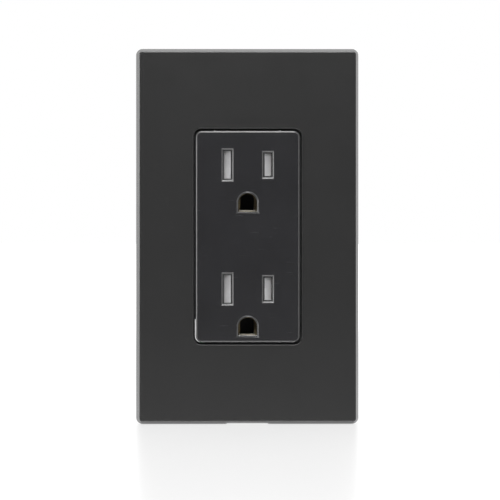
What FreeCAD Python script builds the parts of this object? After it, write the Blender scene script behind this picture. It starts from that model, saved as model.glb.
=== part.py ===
import FreeCAD, Part
import math
import os
import re

import Sketcher

# A duplex wall outlet with its screwless wall plate, in millimetres.
# The origin is the centre of the wall plane: +X is to the right seen from the room, +Y goes into
# the wall and +Z is up. Levels are counted from the wall plane towards the room, so a piece of the
# device that lies behind the wall plane has a negative level.

SIZES = {
    # wall plate: a clip-on cover over a mounting plate
    "plate_width": 69.9,
    "plate_height": 117.9,
    "plate_corner": 2.0,
    "plate_front_corner": 0.9,
    "cover_depth": 5.9,
    "cover_draft": 0.95,
    "cover_skin": 1.8,
    "cover_side": 2.25,
    "cover_edge_round": 0.3,
    "opening_width": 33.9,
    "opening_height": 67.6,
    "opening_corner": 2.5,
    "opening_lip": 1.2,
    "opening_lip_depth": 0.8,
    "catch_width": 9.0,
    "catch_offset": 18.0,
    "catch_level": 0.4,
    "catch_depth": 1.0,
    "pry_notch_width": 13.0,
    "pry_notch_depth": 1.2,
    "subplate_width": 64.0,
    "subplate_height": 111.9,
    "subplate_skin": 1.5,
    "subplate_rib": 1.2,
    "subplate_gap": 0.15,
    "running_gap": 0.05,
    # strap and the screws through it
    "strap_thickness": 1.3,
    "strap_height": 106.4,
    "strap_ear_width": 20.4,
    "strap_neck_width": 6.8,
    "strap_neck_height": 61.0,
    "strap_lobe_width": 27.0,
    "strap_lobe_height": 8.4,
    "strap_lobe_centre": 47.6,
    "strap_corner": 3.0,
    "strap_pad_radius": 6.4,
    "box_screw_spacing": 83.34,
    "plate_screw_spacing": 96.84,
    "screw_radius": 1.75,
    "box_slot_length": 7.0,
    "box_screw_neck_radius": 1.45,
    "box_screw_length": 20.0,
    "box_head_radius": 3.4,
    "box_head_height": 2.3,
    "plate_screw_length": 8.0,
    "plate_head_radius": 2.75,
    "plate_head_height": 1.1,
    "retainer_thickness": 0.4,
    "retainer_width": 9.0,
    "retainer_height": 7.0,
    # device face and back body
    "face_width": 32.6,
    "face_height": 66.3,
    "face_corner": 1.9,
    "face_level": 6.9,
    "face_skin": 1.6,
    "face_side": 1.5,
    "face_edge_round": 0.6,
    "body_depth": 19.5,
    "body_flange": 0.9,
    "cavity_depth": 15.0,
    "fixing_across": 12.9,
    "fixing_upper": 29.6,
    "fixing_lower": -22.9,
    "fixing_boss": 4.4,
    "fixing_radius": 1.25,
    "fixing_bite": 3.0,
    "fixing_head_radius": 2.3,
    "fixing_head_height": 1.8,
    # blade slots and ground holes
    "upper_blades": 22.5,
    "outlet_spacing": 38.9,
    "blade_spacing": 12.7,
    "ground_drop": 11.89,
    "slot_width": 2.05,
    "hot_slot": 6.95,
    "neutral_slot": 8.6,
    "slot_draft": 0.42,
    "slot_bevel": 0.6,
    "bevel_depth": 0.42,
    "ground_radius": 3.05,
    "ground_flat_drop": 2.95,
    "ground_bevel": 0.6,
    "ground_sleeve": 1.0,
    "strap_hole_radius": 3.0,
    "strap_hole_drop": 2.9,
    # shutters that close the blade slots
    "carrier_floor": 0.7,
    "carrier_width": 20.8,
    "carrier_height": 11.4,
    "shutter_inner": 4.8,
    "shutter_width": 3.2,
    "shutter_lip": 0.35,
    "shutter_crest": 0.5,
    "shutter_overlap": 1.2,
    "shutter_thickness": 3.05,
    "spring_radius": 1.2,
    "spring_wire": 0.125,
    "spring_turns": 8,
    "spring_level": 3.6,
    # current-carrying strips and their terminals
    "brass_thickness": 0.8,
    "jaw_gap": 0.9,
    "jaw_start": 2.0,
    "jaw_end": 14.0,
    "jaw_height": 6.0,
    "strip_outer": 13.4,
    "bus_depth": 4.0,
    "fin_height": 4.0,
    "fin_depth": 2.4,
    "terminal_height": 14.5,
    "terminal_depth": 7.7,
    "terminal_plate": 8.4,
    "terminal_start": 3.5,
    "clamp_thickness": 1.2,
    "clamp_height": 8.6,
    "clamp_length": 8.6,
    "terminal_head_radius": 3.5,
    "terminal_head_height": 2.4,
    "terminal_screw_length": 5.2,
    "wire_hole_radius": 1.4,
    "wire_hole_spacing": 6.0,
    # grounding parts
    "clip_hole_radius": 2.65,
    "clip_hole_drop": 2.36,
    "ground_leaf_gap": 4.4,
    "ground_leaf_height": 5.2,
    "ground_leaf_end": 13.0,
    "ground_base_width": 12.2,
    "ground_base_height": 7.4,
    "rivet_across": 4.6,
    "rivet_radius": 0.8,
    "rivet_head_radius": 1.3,
    "rivet_head_height": 0.5,
    "ground_tab_outer": 11.5,
    "ground_tab_height": 10.6,
    "ground_tab_centre": -31.6,
    "ground_tab_depth": 12.0,
    "ground_screw_depth": 6.6,
    "body_gap": 0.3,
}

HEIGHTS = {"upper": "upper_blades", "lower": "(upper_blades - outlet_spacing)"}
TERMINAL_HEIGHTS = {"upper": "terminal_height", "lower": "-terminal_height"}
SIDES = {"hot": 1, "neutral": -1}
ENDS = {"upper": 1, "lower": -1}

TO_ROOM = FreeCAD.Rotation(FreeCAD.Vector(1, 0, 0), 90)
TO_WALL = FreeCAD.Rotation(FreeCAD.Vector(1, 0, 0), -90)
TO_RIGHT = FreeCAD.Rotation(FreeCAD.Vector(0, 1, 0), 90)
TO_LEFT = FreeCAD.Rotation(FreeCAD.Vector(0, 1, 0), -90)

doc = FreeCAD.newDocument("duplex_outlet")
sheet = doc.addObject("Spreadsheet::Sheet", "sizes")
pieces = []


def fill_sheet():
    """Write each driving dimension into the sheet, with its name as the cell's alias."""
    for row, (name, size) in enumerate(SIZES.items(), start=1):
        sheet.set(f"A{row}", name)
        sheet.set(f"B{row}", str(size))
        sheet.setAlias(f"B{row}", name)
    doc.recompute()


def terms(expression):
    """Point every name in an expression at its cell in the sheet."""
    return re.sub(r"[a-z]+(?:_[a-z]+)*", lambda word: "sizes." + word.group(), expression)


def value(expression):
    """Work an expression out to a number."""
    return float(sheet.evalExpression(terms(expression)))


def bind(thing, name, expression):
    """Tie one property of an object to an expression over the sheet."""
    thing.setExpression(name, terms(expression))


# Sketches and the outlines drawn on them


def section(body, role, level):
    """Start a sketch on one of the body's own planes, moved along the plane's normal to a level."""
    plane = next(item for item in body.Origin.OriginFeatures if item.Role == role)
    sketch = body.newObject("Sketcher::SketchObject", "outline")
    sketch.AttachmentSupport = (plane, [""])
    sketch.MapMode = "FlatFace"
    bind(sketch, "AttachmentOffset.Base.z", level)
    return sketch


def measure(sketch, kind, picks, expression):
    """Add a dimension to a sketch and drive it from the sheet."""
    number = sketch.addConstraint(Sketcher.Constraint(kind, *picks, value(expression)))
    bind(sketch, f"Constraints[{number}]", expression)


def pin(sketch, geometry, point, across, up):
    """Fix one point of a sketch by its two distances from the origin."""
    measure(sketch, "DistanceX", (-1, 1, geometry, point), across)
    measure(sketch, "DistanceY", (-1, 1, geometry, point), up)


def polygon(sketch, corners):
    """Draw a closed outline of straight lines through corners given as pairs of expressions."""
    count = len(corners)
    places = [FreeCAD.Vector(value(across), value(up), 0) for across, up in corners]
    first = sketch.GeometryCount
    for index in range(count):
        sketch.addGeometry(Part.LineSegment(places[index], places[(index + 1) % count]))
    for index in range(count):
        following = first + (index + 1) % count
        sketch.addConstraint(Sketcher.Constraint("Coincident", first + index, 2, following, 1))
    for index, (across, up) in enumerate(corners):
        pin(sketch, first + index, 1, across, up)


def rectangle(sketch, across, up, width, height):
    """Draw a sharp-cornered rectangle round a centre."""
    left = f"{across} - ({width}) / 2"
    right = f"{across} + ({width}) / 2"
    bottom = f"{up} - ({height}) / 2"
    top = f"{up} + ({height}) / 2"
    polygon(sketch, [(left, bottom), (right, bottom), (right, top), (left, top)])


def rounded_rectangle(sketch, width, height, radius):
    """Draw a rectangle with rounded corners, centred on the sketch's origin."""
    wide = value(width) / 2
    tall = value(height) / 2
    round_by = value(radius)
    quarter = math.pi / 2
    vector = FreeCAD.Vector
    corners = [(wide, tall), (-wide, tall), (-wide, -tall), (wide, -tall)]
    signs = [(1, 1), (-1, 1), (-1, -1), (1, -1)]
    for index, ((x, z), (sign_x, sign_z)) in enumerate(zip(corners, signs)):
        centre = vector(x - sign_x * round_by, z - sign_z * round_by, 0)
        circle_line = Part.Circle(centre, vector(0, 0, 1), round_by)
        sketch.addGeometry(Part.ArcOfCircle(circle_line, index * quarter, (index + 1) * quarter))
    straights = [
        (vector(wide - round_by, tall, 0), vector(-wide + round_by, tall, 0)),
        (vector(-wide, tall - round_by, 0), vector(-wide, -tall + round_by, 0)),
        (vector(-wide + round_by, -tall, 0), vector(wide - round_by, -tall, 0)),
        (vector(wide, -tall + round_by, 0), vector(wide, tall - round_by, 0)),
    ]
    for start, end in straights:
        sketch.addGeometry(Part.LineSegment(start, end))
    for corner in range(4):
        straight = 4 + corner
        sketch.addConstraint(Sketcher.Constraint("Tangent", corner, 2, straight, 1))
        sketch.addConstraint(Sketcher.Constraint("Tangent", straight, 2, (corner + 1) % 4, 1))
    for straight, kind in ((4, "Horizontal"), (5, "Vertical"), (6, "Horizontal"), (7, "Vertical")):
        sketch.addConstraint(Sketcher.Constraint(kind, straight))
    for corner in (1, 2, 3):
        sketch.addConstraint(Sketcher.Constraint("Equal", 0, corner))
    measure(sketch, "Radius", (0,), radius)
    pin(sketch, 0, 3, f"({width}) / 2 - ({radius})", f"({height}) / 2 - ({radius})")
    pin(sketch, 2, 3, f"({radius}) - ({width}) / 2", f"({radius}) - ({height}) / 2")


def circle(sketch, across, up, radius):
    """Draw a circle."""
    centre = FreeCAD.Vector(value(across), value(up), 0)
    number = sketch.addGeometry(Part.Circle(centre, FreeCAD.Vector(0, 0, 1), value(radius)))
    pin(sketch, number, 3, across, up)
    measure(sketch, "Radius", (number,), radius)


def arched_hole(sketch, up, radius, drop):
    """Draw a ground hole: a half-round top over a flat bottom, centred on the sketch's upright axis."""
    centre = FreeCAD.Vector(0, value(up), 0)
    half = value(radius)
    low = value(up) - value(drop)
    top = Part.Circle(centre, FreeCAD.Vector(0, 0, 1), half)
    sketch.addGeometry(Part.ArcOfCircle(top, 0, math.pi))
    corners = [(-half, centre.y), (-half, low), (half, low), (half, centre.y)]
    places = [FreeCAD.Vector(x, z, 0) for x, z in corners]
    for index in range(3):
        sketch.addGeometry(Part.LineSegment(places[index], places[index + 1]))
    sketch.addConstraint(Sketcher.Constraint("Tangent", 0, 2, 1, 1))
    sketch.addConstraint(Sketcher.Constraint("Coincident", 1, 2, 2, 1))
    sketch.addConstraint(Sketcher.Constraint("Coincident", 2, 2, 3, 1))
    sketch.addConstraint(Sketcher.Constraint("Tangent", 3, 2, 0, 1))
    sketch.addConstraint(Sketcher.Constraint("Vertical", 1))
    sketch.addConstraint(Sketcher.Constraint("Horizontal", 2))
    sketch.addConstraint(Sketcher.Constraint("Vertical", 3))
    pin(sketch, 0, 3, "0", up)
    measure(sketch, "Radius", (0,), radius)
    measure(sketch, "DistanceY", (-1, 1, 2, 1), f"{up} - ({drop})")


# Features


def new_body(label):
    """Start a sub-part."""
    body = doc.addObject("PartDesign::Body", label)
    body.Label = label
    return body


def pad(body, sketch, length):
    """Extrude a sketch along its plane's normal."""
    feature = body.newObject("PartDesign::Pad", "pad")
    feature.Profile = sketch
    bind(feature, "Length", length)
    sketch.Visibility = False
    return feature


def pocket(body, sketch, length):
    """Cut a sketch away against its plane's normal, and make sure that something was cut."""
    doc.recompute()
    before = body.Shape.Volume
    feature = body.newObject("PartDesign::Pocket", "pocket")
    feature.Profile = sketch
    bind(feature, "Length", length)
    sketch.Visibility = False
    doc.recompute()
    if body.Shape.Volume > before - 0.01:
        raise RuntimeError(f"{feature.Name} in {body.Label} cuts nothing")
    return feature


def loft(body, kind, start, end):
    """Join two sections by straight-sided walls, adding or cutting material."""
    feature = body.newObject(f"PartDesign::{kind}Loft", "loft")
    feature.Profile = start
    feature.Sections = [end]
    feature.Ruled = True
    return feature


def dress(body, kind, size, chosen):
    """Round or bevel the edges of a body for which chosen(edge) holds."""
    doc.recompute()
    base = body.Tip
    names = [f"Edge{n}" for n, edge in enumerate(base.Shape.Edges, start=1) if chosen(edge)]
    feature = body.newObject(f"PartDesign::{kind}", "dressed_edge")
    feature.Base = (base, names)
    bind(feature, "Radius" if kind == "Fillet" else "Size", size)
    doc.recompute()
    return feature


def at_level(edge, level):
    """Tell whether a whole edge lies at one level in front of the wall plane."""
    box = edge.BoundBox
    return abs(box.YMin + level) < 0.01 and abs(box.YMax + level) < 0.01


def place(thing, across, depth, up, rotation):
    """Put a piece built about its own origin where it belongs in the object."""
    thing.Placement = FreeCAD.Placement(FreeCAD.Vector(0, 0, 0), rotation)
    bind(thing, "Placement.Base.x", across)
    bind(thing, "Placement.Base.y", depth)
    bind(thing, "Placement.Base.z", up)


def keep(piece):
    """List a finished sub-part to be written."""
    pieces.append(piece)


# Wall plate


def make_cover():
    """The clip-on cover: a drafted shell, its opening's lip, four inner catches and a pry notch."""
    body = new_body("cover")
    rim = section(body, "XZ_Plane", "0")
    rounded_rectangle(rim, "plate_width", "plate_height", "plate_corner")
    front = section(body, "XZ_Plane", "cover_depth")
    front_width = "plate_width - 2 * cover_draft"
    front_height = "plate_height - 2 * cover_draft"
    rounded_rectangle(front, front_width, front_height, "plate_front_corner")
    loft(body, "Additive", rim, front)
    hollow = section(body, "XZ_Plane", "cover_depth - cover_skin")
    inner_width = "plate_width - 2 * cover_side"
    inner_height = "plate_height - 2 * cover_side"
    rounded_rectangle(hollow, inner_width, inner_height, "plate_corner / 2")
    pocket(body, hollow, "cover_depth - cover_skin")
    lip = section(body, "XZ_Plane", "cover_depth - cover_skin - opening_lip_depth")
    lip_width = "opening_width + 2 * opening_lip"
    lip_height = "opening_height + 2 * opening_lip"
    rounded_rectangle(lip, lip_width, lip_height, "opening_corner + opening_lip")
    pad(body, lip, "opening_lip_depth")
    opening = section(body, "XZ_Plane", "cover_depth")
    rounded_rectangle(opening, "opening_width", "opening_height", "opening_corner")
    pocket(body, opening, "cover_depth")
    catches = section(body, "XZ_Plane", "catch_level")
    reach = "(subplate_height / 2 + running_gap)"
    root = "(plate_height / 2 - cover_side / 2)"
    for end in ENDS.values():
        for side in SIDES.values():
            middle = f"{end} * ({root} + {reach}) / 2"
            rectangle(catches, f"{side} * catch_offset", middle, "catch_width", f"{root} - {reach}")
    pad(body, catches, "catch_depth")
    notch = section(body, "XZ_Plane", "pry_notch_depth")
    rectangle(notch, "0", "-plate_height / 2", "pry_notch_width", "3 * cover_side")
    pocket(body, notch, "pry_notch_depth")
    front_level = value("cover_depth")
    dress(body, "Fillet", "cover_edge_round", lambda edge: at_level(edge, front_level))
    keep(body)


def make_mounting_plate():
    """The plate that the cover clips to: a skin with a perimeter rib and holes for four screws."""
    body = new_body("mounting_plate")
    rib = section(body, "XZ_Plane", "0")
    rounded_rectangle(rib, "subplate_width", "subplate_height", "plate_corner")
    pad(body, rib, "strap_thickness + subplate_skin")
    hollow = section(body, "XZ_Plane", "strap_thickness")
    inner_width = "subplate_width - 2 * subplate_rib"
    inner_height = "subplate_height - 2 * subplate_rib"
    rounded_rectangle(hollow, inner_width, inner_height, "plate_corner / 2")
    pocket(body, hollow, "strap_thickness")
    opening = section(body, "XZ_Plane", "strap_thickness + subplate_skin")
    opening_width = "face_width + 2 * subplate_gap"
    opening_height = "face_height + 2 * subplate_gap"
    rounded_rectangle(opening, opening_width, opening_height, "face_corner + subplate_gap")
    pocket(body, opening, "strap_thickness + subplate_skin")
    holes = section(body, "XZ_Plane", "strap_thickness + subplate_skin")
    for end in ENDS.values():
        circle(holes, "0", f"{end} * box_screw_spacing / 2", "box_head_radius + body_gap")
        circle(holes, "0", f"{end} * plate_screw_spacing / 2", "screw_radius + body_gap")
    pocket(body, holes, "strap_thickness + subplate_skin")
    keep(body)


# Screws, each built with its head's seat at its own origin and its head towards its own +Z


def screw_profile(head_radius, head_height, radius, length, neck):
    """List half of a screw's outline, from the top of its head down to its tip."""
    bevel = f"{head_height} / 4"
    corners = [
        ("0", head_height),
        (f"{head_radius} - {bevel}", head_height),
        (head_radius, f"{head_height} - {bevel}"),
        (head_radius, "0"),
    ]
    if neck:
        neck_radius, neck_length = neck
        corners += [(neck_radius, "0"), (neck_radius, f"-({neck_length})")]
        corners += [(radius, f"-({neck_length})")]
    else:
        corners += [(radius, "0")]
    tip = f"{radius} / 4"
    corners += [(radius, f"{tip} - {length}"), (f"{radius} - {tip}", f"-{length}"), ("0", f"-{length}")]
    return corners


def make_screw(label, head_radius, head_height, radius, length, neck=None):
    """A slotted screw, turned from its half outline, with its slot cut across the head."""
    body = new_body(label)
    outline = section(body, "XZ_Plane", "0")
    polygon(outline, screw_profile(head_radius, head_height, radius, length, neck))
    turned = body.newObject("PartDesign::Revolution", "turned")
    turned.Profile = outline
    turned.ReferenceAxis = (outline, ["V_Axis"])
    turned.Angle = 360
    slot = section(body, "XY_Plane", head_height)
    rectangle(slot, "0", "0", f"3 * {head_radius}", f"{head_radius} / 4")
    pocket(body, slot, f"{head_height} / 2")
    return body


def make_strap_screws():
    """The two long screws to the wall box and the two short ones that hold the mounting plate."""
    for end, sign in ENDS.items():
        neck = ("box_screw_neck_radius", "strap_thickness + retainer_thickness + running_gap")
        size = ("box_head_radius", "box_head_height", "screw_radius", "box_screw_length")
        screw = make_screw(f"mounting_screw_{end}", *size, neck)
        place(screw, "0", "-strap_thickness", f"{sign} * box_screw_spacing / 2", TO_ROOM)
        keep(screw)
        size = ("plate_head_radius", "plate_head_height", "screw_radius", "plate_screw_length")
        screw = make_screw(f"plate_screw_{end}", *size)
        seat = "-strap_thickness - subplate_skin"
        place(screw, "0", seat, f"{sign} * plate_screw_spacing / 2", TO_ROOM)
        keep(screw)


def make_screw_retainers():
    """The thin washers behind the strap that keep the box screws from falling out."""
    for end, sign in ENDS.items():
        body = new_body(f"screw_retainer_{end}")
        height = f"{sign} * box_screw_spacing / 2"
        outline = section(body, "XZ_Plane", "-retainer_thickness")
        rectangle(outline, "0", height, "retainer_width", "retainer_height")
        circle(outline, "0", height, "box_screw_neck_radius + running_gap")
        pad(body, outline, "retainer_thickness")
        keep(body)


def make_body_screws():
    """The four screws from the back that clamp the back body and the strap to the face."""
    screws = []
    for height in ("fixing_upper", "fixing_lower"):
        for side in SIDES.values():
            length = "body_depth - fixing_head_height + strap_thickness + fixing_bite"
            size = ("fixing_head_radius", "fixing_head_height", "fixing_radius", f"({length})")
            screw = make_screw("body_screw", *size)
            seat = "body_depth - fixing_head_height"
            place(screw, f"{side} * fixing_across", seat, height, TO_WALL)
            screws.append(screw)
    group = doc.addObject("Part::Compound", "body_screws")
    group.Links = screws
    keep(group)


# Strap and grounding parts


def make_strap():
    """The steel strap: two ears, a narrow neck with two pads for the ground pins, and a bent tab."""
    body = new_body("strap")
    ends = section(body, "XZ_Plane", "0")
    ear_inner = "strap_neck_height / 2"
    ear_outer = "strap_height / 2"
    neck = "strap_neck_width / 2"
    ear = "strap_ear_width / 2"
    corners = []
    for side, end in ((1, 1), (-1, 1), (-1, -1), (1, -1)):
        stretch = [
            (f"{side} * {neck}", f"{end} * {ear_inner}"),
            (f"{side} * {ear}", f"{end} * {ear_inner}"),
            (f"{side} * {ear}", f"{end} * {ear_outer}"),
        ]
        corners += stretch if side * end == 1 else stretch[::-1]
    polygon(ends, corners)
    pad(body, ends, "strap_thickness")
    lobes = section(body, "XZ_Plane", "0")
    for end in ENDS.values():
        height = f"{end} * strap_lobe_centre"
        rectangle(lobes, "0", height, "strap_lobe_width", "strap_lobe_height")
    pad(body, lobes, "strap_thickness")
    for blades in HEIGHTS.values():
        ring = section(body, "XZ_Plane", "0")
        circle(ring, "0", f"{blades} - ground_drop", "strap_pad_radius")
        pad(body, ring, "strap_thickness")
    corner_length = value("strap_thickness")
    reach = value("strap_ear_width / 2")

    def is_ear_corner(edge):
        box = edge.BoundBox
        upright = abs(box.YLength - corner_length) < 0.01
        sharp = box.XLength < 0.01 and box.ZLength < 0.01
        return upright and sharp and abs(box.XMin) > reach + 0.01

    dress(body, "Fillet", "strap_corner", is_ear_corner)
    add_ground_tab(body)
    cut_strap_holes(body)
    keep(body)


def add_ground_tab(body):
    """Widen the lower ear on the neutral side and fold a tab back from it for the ground screw."""
    wing = section(body, "XZ_Plane", "0")
    inner = "strap_neck_width / 2"
    middle = f"-(ground_tab_outer + {inner}) / 2"
    rectangle(wing, middle, "ground_tab_centre", f"ground_tab_outer - {inner}", "ground_tab_height")
    pad(body, wing, "strap_thickness")
    tab = section(body, "XZ_Plane", "-ground_tab_depth")
    middle = "strap_thickness / 2 - ground_tab_outer"
    rectangle(tab, middle, "ground_tab_centre", "strap_thickness", "ground_tab_height")
    pad(body, tab, "ground_tab_depth + strap_thickness / 2")
    hole = section(body, "YZ_Plane", "-strap_neck_width / 2")
    circle(hole, "ground_screw_depth", "ground_tab_centre", "screw_radius + running_gap")
    pocket(body, hole, "ground_tab_outer")


def cut_strap_holes(body):
    """Cut the box-screw slots, the tapped plate-screw holes, the ground-pin holes and rivet holes."""
    front = "strap_thickness"
    slots = section(body, "XZ_Plane", front)
    for end in ENDS.values():
        height = f"{end} * box_screw_spacing / 2"
        rectangle(slots, "0", height, "box_slot_length", "2 * screw_radius + body_gap")
        circle(slots, "0", f"{end} * plate_screw_spacing / 2", "screw_radius + running_gap")
    pocket(body, slots, front)
    for blades in HEIGHTS.values():
        height = f"{blades} - ground_drop"
        opening = section(body, "XZ_Plane", front)
        arched_hole(opening, height, "strap_hole_radius", "strap_hole_drop")
        pocket(body, opening, front)
        rivets = section(body, "XZ_Plane", front)
        for side in SIDES.values():
            circle(rivets, f"{side} * rivet_across", height, "rivet_radius + running_gap")
        pocket(body, rivets, front)


def make_ground_contacts():
    """The brass clips behind the strap that grip the ground pins: a base, two leaves and a tongue."""
    for end, blades in HEIGHTS.items():
        body = new_body(f"ground_contact_{end}")
        height = f"{blades} - ground_drop"
        base = section(body, "XZ_Plane", "-brass_thickness")
        rectangle(base, "0", height, "ground_base_width", "ground_base_height")
        pad(body, base, "brass_thickness")
        leaves = section(body, "XZ_Plane", "-ground_leaf_end")
        middle = "(ground_leaf_gap + brass_thickness) / 2"
        for side in SIDES.values():
            rectangle(leaves, f"{side} * {middle}", height, "brass_thickness", "ground_leaf_height")
        pad(body, leaves, "ground_leaf_end")
        tongue = section(body, "XZ_Plane", "-ground_leaf_end * 2 / 3")
        low = f"{height} - clip_hole_drop - brass_thickness / 2"
        rectangle(tongue, "0", low, "ground_leaf_gap - brass_thickness", "brass_thickness")
        pad(body, tongue, "ground_leaf_end * 2 / 3")
        opening = section(body, "XZ_Plane", "0")
        arched_hole(opening, height, "clip_hole_radius", "clip_hole_drop")
        pocket(body, opening, "brass_thickness")
        rivets = section(body, "XZ_Plane", "0")
        for side in SIDES.values():
            circle(rivets, f"{side} * rivet_across", height, "rivet_radius + running_gap")
        pocket(body, rivets, "brass_thickness")
        keep(body)


def make_ground_rivets():
    """The four rivets that join the ground clips to the strap."""
    rivets = []
    for blades in HEIGHTS.values():
        for side in SIDES.values():
            body = new_body("ground_rivet")
            outline = section(body, "XZ_Plane", "0")
            shank_end = "-(strap_thickness + brass_thickness)"
            tail = f"{shank_end} - rivet_head_height"
            corners = [
                ("0", "rivet_head_height"),
                ("rivet_head_radius / 2", "rivet_head_height"),
                ("rivet_head_radius", "0"),
                ("rivet_radius", "0"),
                ("rivet_radius", shank_end),
                ("rivet_head_radius", shank_end),
                ("rivet_head_radius / 2", tail),
                ("0", tail),
            ]
            polygon(outline, corners)
            turned = body.newObject("PartDesign::Revolution", "turned")
            turned.Profile = outline
            turned.ReferenceAxis = (outline, ["V_Axis"])
            turned.Angle = 360
            height = f"{blades} - ground_drop"
            place(body, f"{side} * rivet_across", "-strap_thickness", height, TO_ROOM)
            rivets.append(body)
    group = doc.addObject("Part::Compound", "ground_rivets")
    group.Links = rivets
    keep(group)


# Device housing


def blade_slot(body, across, up, height):
    """Cut one blade slot through the face: a straight throat, a drafted mouth and a bevelled edge."""
    inner = "face_level - face_skin"
    throat = section(body, "XZ_Plane", "face_level")
    rectangle(throat, across, up, "slot_width", height)
    pocket(body, throat, "face_skin")
    steps = [
        (inner, "0"),
        ("face_level - bevel_depth", "2 * slot_draft"),
        ("face_level", "2 * (slot_draft + slot_bevel)"),
    ]
    for (start_level, start_growth), (end_level, end_growth) in zip(steps, steps[1:]):
        start = section(body, "XZ_Plane", start_level)
        rectangle(start, across, up, f"slot_width + {start_growth}", f"{height} + {start_growth}")
        end = section(body, "XZ_Plane", end_level)
        rectangle(end, across, up, f"slot_width + {end_growth}", f"{height} + {end_growth}")
        loft(body, "Subtractive", start, end)


def ground_hole(body, up):
    """Cut one ground hole through the face and its sleeve, with a bevelled edge."""
    hole = section(body, "XZ_Plane", "face_level")
    arched_hole(hole, up, "ground_radius", "ground_flat_drop")
    pocket(body, hole, "face_level - strap_thickness")
    start = section(body, "XZ_Plane", "face_level - bevel_depth")
    arched_hole(start, up, "ground_radius", "ground_flat_drop")
    end = section(body, "XZ_Plane", "face_level")
    arched_hole(end, up, "ground_radius + ground_bevel", "ground_flat_drop + ground_bevel / 2")
    loft(body, "Subtractive", start, end)


def make_face():
    """The device's front: a shell with bosses for its screws, ground sleeves, slots and holes."""
    body = new_body("face")
    outline = section(body, "XZ_Plane", "strap_thickness")
    rounded_rectangle(outline, "face_width", "face_height", "face_corner")
    pad(body, outline, "face_level - strap_thickness")
    front_level = value("face_level")
    dress(body, "Fillet", "face_edge_round", lambda edge: at_level(edge, front_level))
    hollow = section(body, "XZ_Plane", "face_level - face_skin")
    inner_width = "face_width - 2 * face_side"
    inner_height = "face_height - 2 * face_side"
    rounded_rectangle(hollow, inner_width, inner_height, "face_corner / 2")
    pocket(body, hollow, "face_level - face_skin - strap_thickness")
    bosses = section(body, "XZ_Plane", "strap_thickness")
    for height in ("fixing_upper", "fixing_lower"):
        for side in SIDES.values():
            rectangle(bosses, f"{side} * fixing_across", height, "fixing_boss", "fixing_boss")
    pad(body, bosses, "face_level - face_skin - strap_thickness")
    for blades in HEIGHTS.values():
        height = f"{blades} - ground_drop"
        level = "strap_thickness + carrier_floor"
        sleeve = section(body, "XZ_Plane", level)
        arched_hole(sleeve, height, "ground_radius + ground_sleeve", "ground_flat_drop + ground_sleeve / 2")
        pad(body, sleeve, f"face_level - face_skin - {level}")
    holes = section(body, "XZ_Plane", "strap_thickness + fixing_bite + body_gap")
    for height in ("fixing_upper", "fixing_lower"):
        for side in SIDES.values():
            circle(holes, f"{side} * fixing_across", height, "fixing_radius + running_gap")
    pocket(body, holes, "fixing_bite + body_gap")
    for blades in HEIGHTS.values():
        for name, side in SIDES.items():
            blade_slot(body, f"{side} * blade_spacing / 2", blades, f"{name}_slot")
        ground_hole(body, f"{blades} - ground_drop")
    keep(body)


def make_back_body():
    """The moulded back: a thin flange, seats for the strap and brass, terminal pockets and wire holes."""
    body = new_body("back_body")
    outline = section(body, "XZ_Plane", "-body_depth")
    rounded_rectangle(outline, "face_width", "face_height", "face_corner")
    pad(body, outline, "body_depth + strap_thickness")
    flange = section(body, "XZ_Plane", "0")
    flange_width = "face_width + 2 * body_flange"
    flange_height = "face_height + 2 * body_flange"
    rounded_rectangle(flange, flange_width, flange_height, "face_corner + body_flange")
    pad(body, flange, "strap_thickness - running_gap")
    seat_strap(body)
    seat_contacts(body)
    open_terminals(body)
    drill_back(body)
    keep(body)


def seat_strap(body):
    """Sink the strap into the front of the back body and clear the corner for its ground terminal."""
    neck = section(body, "XZ_Plane", "strap_thickness")
    rectangle(neck, "0", "0", "2 * strap_pad_radius + body_gap", "2 * face_height")
    pocket(body, neck, "strap_thickness")
    ears = section(body, "XZ_Plane", "strap_thickness")
    gap = "(strap_neck_height / 2 - body_gap)"
    for end in ENDS.values():
        middle = f"{end} * ({gap} + face_height) / 2"
        rectangle(ears, "0", middle, "strap_ear_width + 2 * body_gap", f"face_height - {gap}")
    pocket(body, ears, "strap_thickness")
    corner = section(body, "XZ_Plane", "strap_thickness")
    inner = "(strap_ear_width / 2 - body_gap)"
    top = "(ground_tab_centre + ground_tab_height / 2 + body_gap)"
    middle_across = f"-({inner} + face_width) / 2"
    middle_up = f"({top} - face_height) / 2"
    rectangle(corner, middle_across, middle_up, f"face_width - {inner}", f"{top} + face_height")
    pocket(body, corner, "body_depth + strap_thickness")
    tip = section(body, "XZ_Plane", "screw_radius + body_gap - ground_screw_depth")
    tip_end = "(ground_tab_outer + clamp_thickness - terminal_screw_length - body_gap)"
    tip_across = f"-({tip_end} + {inner}) / 2"
    width = "2 * (screw_radius + body_gap)"
    rectangle(tip, tip_across, "ground_tab_centre", f"{inner} - {tip_end} + body_gap", width)
    pocket(body, tip, width)
    wing = section(body, "XZ_Plane", "strap_thickness")
    middle_across = "-(ground_tab_outer + body_gap) / 2"
    rectangle(wing, middle_across, middle_up, "ground_tab_outer + body_gap", f"{top} + face_height")
    pocket(body, wing, "strap_thickness")


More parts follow.
